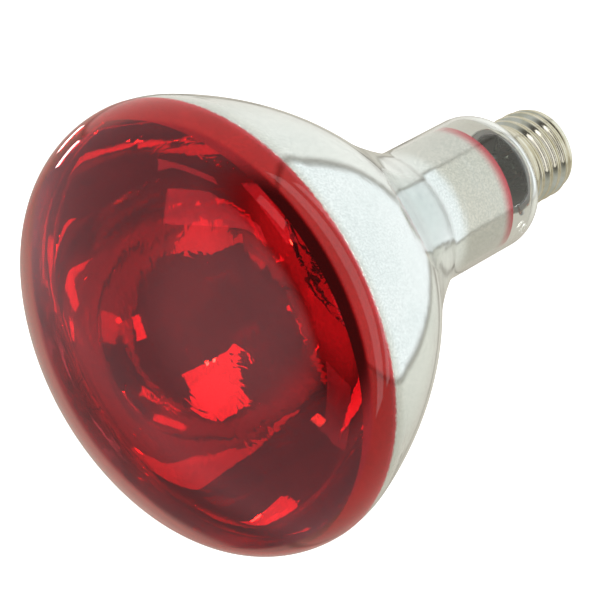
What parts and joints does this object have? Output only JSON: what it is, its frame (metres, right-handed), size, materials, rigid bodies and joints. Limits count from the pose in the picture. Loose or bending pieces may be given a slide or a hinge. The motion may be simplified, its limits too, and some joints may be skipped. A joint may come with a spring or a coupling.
{
  "type": "infrared reflector heat lamp",
  "caption": "Infrared reflector heat lamp with a ruby face, an aluminised bowl and an Edison screw cap, for brooding chicks and small livestock.",
  "frame": {"origin": "tip of the centre contact, on the lamp axis", "axes": "+Z along the lamp axis from the cap towards the ruby face, with the cap at the bottom; -Y is the front, where the filament ring is open; the two stem leads stand along X"},
  "size_m": [0.125, 0.125, 0.174],
  "materials": {
    "clear_glass": "clear blown hard glass, smooth",
    "ruby_lacquer": "transparent ruby lacquer, glossy, feathered at its edge",
    "mirror_film": "vapour-deposited aluminium seen through glass",
    "nickel_plate": "nickel-plated rolled brass, glossy with fine rolling marks",
    "black_glass": "black vitrite glass, glossy",
    "brass": "stamped brass",
    "solder": "tin solder, satin, slightly uneven",
    "cement": "baked capping cement, matt and grainy",
    "stem_glass": "lead glass, smooth, slightly green",
    "copper": "bare copper wire, slightly oxidised",
    "nickel_wire": "drawn nickel wire",
    "aluminium_disc": "stamped aluminium sheet, satin",
    "ceramic": "white steatite, matt",
    "molybdenum": "drawn molybdenum wire",
    "tungsten": "coiled tungsten wire, dark grey"
  },
  "bodies": {
    "root": {"bulb_envelope": "clear_glass", "ruby_face_coating": "ruby_lacquer", "reflector_film": "mirror_film", "screw_shell": "nickel_plate", "cap_insulator": "black_glass", "contact_plate": "brass", "contact_solder": "solder", "rim_solder": "solder", "capping_cement": "cement", "stem_flare": "stem_glass", "stem_press": "stem_glass", "exhaust_tube": "stem_glass", "seal_wires": "copper", "center_outer_lead": "copper", "fuse_sleeve": "stem_glass", "side_outer_lead": "copper", "left_inner_lead": "nickel_wire", "right_inner_lead": "nickel_wire", "heat_deflector": "aluminium_disc", "deflector_eyelets": "ceramic", "arbor_rod": "stem_glass", "support_button": "stem_glass", "filament_support_1": "molybdenum", "filament_support_2": "molybdenum", "filament_support_3": "molybdenum", "filament_support_4": "molybdenum", "filament_support_5": "molybdenum", "filament_coil": "tungsten", "filament_clamps": "nickel_wire"}
  },
  "joints": []
}
